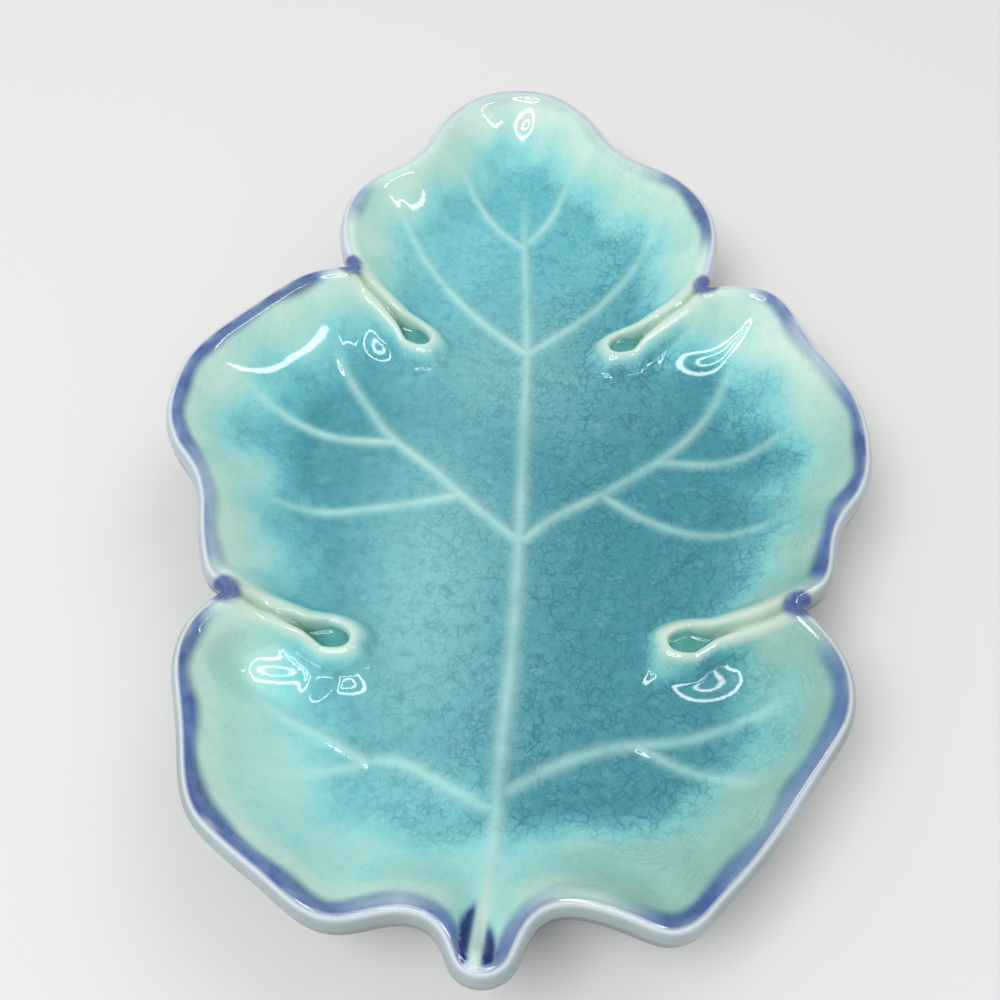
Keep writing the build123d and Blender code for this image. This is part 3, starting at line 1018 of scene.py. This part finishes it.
def blue_fields(plan, fields, crest):
    """The blue of the brushed band, the clefts' mouths and the stalk's strokes."""
    y, rim_gap = plan[:, 1], fields["rim_gap"]
    beside_root = from_root(plan)
    band = ease(*band_start, rim_gap + 0.08 * hills(plan, 5, 31))
    band = band * (1 - ease(*band_end, rim_gap + 0.25 * hills(plan, 9, 33)))
    bare = np.exp(-((beside_root / root_bare_width) ** 2)) * ease(*root_bare_span, y)
    band = band * (1 - bare) * ease(0, 0.9, fields["blue"]) * (1 - 0.7 * crest)
    notch = ease(0.25, 0.6, fields["notch"])
    notch = notch * (1 - 0.8 * ease(1.0, 2.4, fields["hairpin"]))
    from_top = np.where(beside_root < 0, *stroke_tops) - y
    broad = between(*stroke_breadths, ease(0, stroke_taper, from_top))
    stroke = ease(*stroke_inner_edge, abs(beside_root))
    stroke = stroke * (1 - ease(0.5, 1.5, abs(beside_root) / broad))
    stroke = stroke * ease(0, stroke_fade, from_top) * (1 - ease(*stroke_foot, y))
    stroke = stroke * ease(1.0, 1.6, rim_gap)
    thick = 0.35 * ease(0.75, 1.0, fields["blue"])
    return {
        "cobalt": np.clip(np.maximum(band, notch), 0, 1),
        "stalk": np.clip(1.5 * stroke, 0, 1) * (1 - 0.5 * fields["vein"] ** 3),
        "dark": np.max([0.3 * notch, stroke, thick], axis=0),
    }


def colour_fields(plan, fields):
    """What the glaze material reads: how deep the glass is, and what else tints it."""
    names = ("rim_gap", "soft_gap", "hairpin", "share", "vein")
    rim_gap, soft, hairpin, share, vein = (fields[name] for name in names)
    x, y = plan.T
    left, right, tall = reflection_left_sizes
    size = np.column_stack([np.where(x < reflection_left_middle[0], left, right), np.full(len(x), tall)])
    # A painted reflection: paler glass in the middle, in two soft ovals
    painted_reflection = np.maximum(patch(plan, 1, reflection_left_middle, size), patch(plan, *reflection_upper_middle))
    crest = np.clip(1 - abs(hairpin - crest_gap) / crest_half_width, 0, 1) ** 0.7
    crest = crest * ease(0.5, 2.0, rim_gap)
    return {
        "depth": glass_depth(plan, soft, hairpin, share),
        "painted_reflection": painted_reflection * ease(*reflection_rise, soft),
        "vein": vein,
        "cream": crest * between(0.75, 0.55, share),
        "olive": fields["groove"] * ease(1.5, 3, rim_gap),
        "pitted": 1 - ease(-0.5, 0.9, fields["pit"]),
        **blue_fields(plan, fields, crest),
        "lip": 1 - ease(*lip_edge, rim_gap),
        # The white line along the lip, partly a painted highlight
        "lip_line_and_highlight": np.exp(-(((rim_gap - lip_line_gap) / lip_line_width) ** 2)),
        # The right and lower right: stronger crazing and older glass, darker partly as painted
        # shade
        "crazed_and_shaded": ease(*crazed_and_shaded_span, x - crazed_and_shaded_tilt * y),
        "aged_and_shaded": aged_and_shaded_share(plan) * ease(*aged_and_shaded_side_span, x),
        # Painted shade: the lip greyer on the near, lower side
        "lower": ease(*grey_lip_span, y - grey_lip_tilt * abs(x - grey_lip_middle)),
        "root": ease(*root_colour_span, y) * vein ** 1.6,
        "soft_gap": soft,
        # Painted light on the tip and on a patch
        "painted_light": np.maximum(parts(plan, painted_light_tip), patch(plan, *painted_light_patch)),
    }


def underside_line(cover):
    """The outline where the wall meets the underside, cover outside the clay."""
    moved = rim * (1 - (outer_run - cover) / norms(rim))[:, None]
    oval = np.array([underside_width, underside_length]) / 2 + cover
    reach = norms(moved / oval)
    return moved / np.minimum(reach, 1)[:, None]


def level_row(line, level):
    """A row of vertices at one level over a line of the plan."""
    return np.column_stack([line, np.full(len(line), level)])


def wall_row(line, under, share, top, bottom):
    """A row of the outer wall, this share of the way from the rim to the line under it."""
    level = between(bottom, top, (1 - share) ** outer_curve_power)
    return level_row(between(line, under, share), level)


def triangulated(points, count):
    """Triangles over points inside a closed row, the first count of them, all facing up."""
    loop = list(range(count))[::-1]
    made = delaunay_2d_cdt([Vector(p) for p in points], [], [loop], 1, 1e-5)
    assert len(made[0]) == len(points), "the triangulation added vertices"
    triangles = np.array(made[2])
    first, second, third = (points[triangles[:, k]] for k in range(3))
    turn = np.cross(second - first, third - first)
    triangles[turn < 0] = triangles[turn < 0][:, ::-1]
    return triangles


def outer_wall():
    """The rows of the glazed outer wall down to the glaze line, turned in behind it."""
    under = underside_line(glaze_thickness)
    levels = height - lip_band, foot_height - glaze_thickness
    rows = [wall_row(rim, under, share, *levels) for share in wall_row_shares]
    edge_level = rows[-1][0, 2] + glaze_edge_lift
    rows.append(level_row(between(rim, under, glaze_line_share + 0.02), edge_level))
    rows.append(level_row(between(rim, under, glaze_line_share + 0.1), leaf_cap_level))
    return rows


def make_leaf():
    """The glazed leaf: inside, lip and outer wall down to the glaze line."""
    count = len(rim)
    angles = [math.radians(angle) for angle in lip_angles]
    lip = [rim + inward * lip_roll * (1 - math.cos(angle)) for angle in angles]
    plan = np.concatenate([*lip, top_points()])
    level, fields = surface(plan)
    starts = range(0, len(angles) * count, count)
    for start, angle in zip(starts, angles):
        here = slice(start, start + count)
        ideal = height - lip_roll + lip_roll * math.sin(angle)
        follow = ease(*lip_follow_angles, math.degrees(angle))
        level[here] = between(ideal, level[here], follow)
    level[:count] = height - lip_roll
    last = starts[-1]
    triangles = triangulated(plan[last:], count) + last
    wall = outer_wall()
    top = np.column_stack([plan, level])
    vertices = np.concatenate([top, *wall, [[0, 0, leaf_cap_level]]])
    wall_starts = [len(top) + n * count for n in range(len(wall))]
    outer = closed_strip([0, *wall_starts], count).tolist()
    outer += fan(wall_starts[-1], count, len(vertices) - 1)
    inner = [face[::-1] for face in closed_strip(starts, count).tolist()]
    faces = inner + triangles.tolist() + outer
    kinds = [0] * (len(faces) - len(outer)) + [1] * len(outer)
    below = np.zeros(len(vertices) - len(plan))
    shown = colour_fields(plan, fields)
    shown = {name: np.concatenate([values, below]) for name, values in shown.items()}
    piece = new_piece("glazed_leaf", vertices, faces, shown, [glaze, shaded_outer_glaze], kinds)
    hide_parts("glaze_coat")


def make_underside():
    """The bare clay below the glaze line and under the dish."""
    under = underside_line(0)
    clay_rim = rim + inward * glaze_thickness
    levels = height - lip_band, foot_height
    rows = [wall_row(clay_rim, under, share, *levels) for share in clay_wall_shares]
    rows += [level_row(under * share, foot_height) for share in clay_floor_shares]
    cap_level = rows[0][0, 2] + clay_cap_lift
    rows.insert(0, level_row(rows[0][:, :2] * clay_cap_share, cap_level))
    vertices, faces = closed_body(rows, [0, 0, foot_height], [0, 0, cap_level])
    piece = new_piece("clay_underside", vertices, faces, {}, [clay])
    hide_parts("leaf_body")


def make_foot():
    """The coil of clay that the dish stands on, its lower edges rubbed round."""
    count = 360
    section_shares = [
        (0, 1), (0, 0.3), (0.05, 0.12), (0.14, 0.03), (0.26, 0), (0.5, 0), (0.74, 0),
        (0.86, 0.03), (0.95, 0.12), (1, 0.3), (1, 1),
    ]
    outer_size = np.array([foot_ring_width, foot_ring_length]) / 2
    rows = [
        level_row(circle(count) * (outer_size - (1 - out) * foot_ring_thickness), up * foot_height)
        for out, up in section_shares
    ]
    faces = closed_strip([*range(0, len(rows) * count, count), 0], count).tolist()
    piece = new_piece("foot_coil", np.concatenate(rows), faces, {}, [clay])
    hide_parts("foot_ring")


def make_pools():
    """The glass in each pit, its edge drawn up the sides."""
    forward, beside = circle(72).T
    row_shares = [(1.4, 0.8), (1.28, 0.75), (1.1, 0.45), (0.85, 0.2), (0.5, 0.06), (0.2, 0.01)]
    for name, shares in clefts.items():
        _, pit, _, along, side = cleft_axes(shares)
        outline = np.outer(forward * pit_half_length, along)
        outline += np.outer(beside * pit_half_width * pit_waist(forward), side)
        outline *= pool_share
        rows = [level_row(pit + outline, pit_bottom_level - pool_drop)]
        for reach, up in row_shares:
            rows.append(level_row(pit + outline * reach, pool_level + pool_rise * up))
        tips = [*pit, rows[-1][0, 2]], [*pit, rows[0][0, 2]]
        piece = new_piece(f"pool_{name}", *closed_body(rows, *tips), {}, [pool_glaze])
        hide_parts(f"glaze_pool_{name}")


def linked(name, data):
    """A new object in the scene."""
    body = bpy.data.objects.new(name, data)
    scene.collection.objects.link(body)
    return body


def aimed(body, place):
    """The object, put in its place and turned towards the dish."""
    body.location = place
    body.rotation_euler = (-Vector(place)).to_track_quat("-Z", "Y").to_euler()
    return body


def soft_lamp(name, place, size, power):
    """A square lamp that lights the dish and isn't mirrored in it."""
    lamp = bpy.data.lights.new(name, "AREA")
    lamp.size = size
    lamp.energy = power
    aimed(linked(name, lamp), place).visible_glossy = False


def glowing(name, vertices, faces):
    """A glowing sheet that is only seen as a reflection."""
    mesh = bpy.data.meshes.new(name)
    mesh.from_pydata(vertices.tolist(), [], faces)
    material = bpy.data.materials.new(name)
    material.use_nodes = True
    tree = material.node_tree
    tree.nodes.clear()
    glow = tree.nodes.new("ShaderNodeEmission")
    glow.inputs["Strength"].default_value = glow_strength
    output = tree.nodes.new("ShaderNodeOutputMaterial")
    tree.links.new(glow.outputs[0], output.inputs[0])
    mesh.materials.append(material)
    sheet = linked(name, mesh)
    sheet.visible_camera = False
    sheet.visible_diffuse = False
    sheet.visible_shadow = False
    return sheet


def ring_lamp(name, radius, breadth):
    """A glowing flat ring that faces the dish."""
    count = 96
    rows = [level_row(circle(count) * (radius + half), 0) for half in (-breadth / 2, breadth / 2)]
    faces = closed_strip([0, count], count).tolist()
    aimed(glowing(name, np.concatenate(rows), faces), ring_place)


def arc_lamp(name):
    """A glowing bent strip that tapers to its ends and faces the dish."""
    line, _ = curve_through(arc_places, arc_spacing)
    across = np.cross(np.gradient(line, axis=0), line - arc_aim)
    across /= norms(across)[:, None]
    half = arc_breadth / 2 * np.sin(np.linspace(*arc_taper, len(line)))[:, None]
    count = len(line)
    faces = [(n, n + 1, count + n + 1, count + n) for n in range(count - 1)]
    glowing(name, np.concatenate([line - across * half, line + across * half]), faces)


scene = bpy.context.scene
glaze = glaze_material()
# The outer wall's glaze, darkened as painted shade
shaded_outer_glaze = cloudy_material("shaded_outer_glaze", (150, 4), shaded_outer_glaze_stops, 0.12)
clay = cloudy_material("bare_clay", (700, 4), clay_stops, 0.75, Strength=0.4, Distance=0.0002)
pool_glaze = cloudy_material("pooled_glaze", (500, 3), pool_stops, 0.05)
make_leaf()
make_underside()
make_foot()
make_pools()

floor_mesh = bpy.data.meshes.new("floor")
corners = [(-1, -1, 0), (1, -1, 0), (1, 1, 0), (-1, 1, 0)]
floor_mesh.from_pydata(np.multiply(corners, floor_reach).tolist(), [], [range(4)])
pale_floor = Nodes("pale_floor")
pale_floor.shader.inputs["Base Color"].default_value = (*floor_colour, 1)
pale_floor.shader.inputs["Roughness"].default_value = 0.9
floor_mesh.materials.append(pale_floor.material)
linked("floor", floor_mesh)

scene.world = bpy.data.worlds.new("studio")
scene.world.use_nodes = True
background = scene.world.node_tree.nodes["Background"]
background.inputs["Color"].default_value = (1, 1, 1, 1)
background.inputs["Strength"].default_value = world_strength
soft_lamp("window", *window_lamp)
soft_lamp("room", *room_lamp)
ring_lamp("outer_ring", *outer_ring)
ring_lamp("inner_ring", *inner_ring)
arc_lamp("long_arc")

camera = bpy.data.cameras.new("camera")
camera.lens = camera_lens
camera.clip_start = 0.01
eye = linked("camera", camera)
eye.location = camera_place
eye.rotation_euler = [math.radians(turn) for turn in camera_turns]
scene.camera = eye
scene.view_settings.view_transform = "Standard"
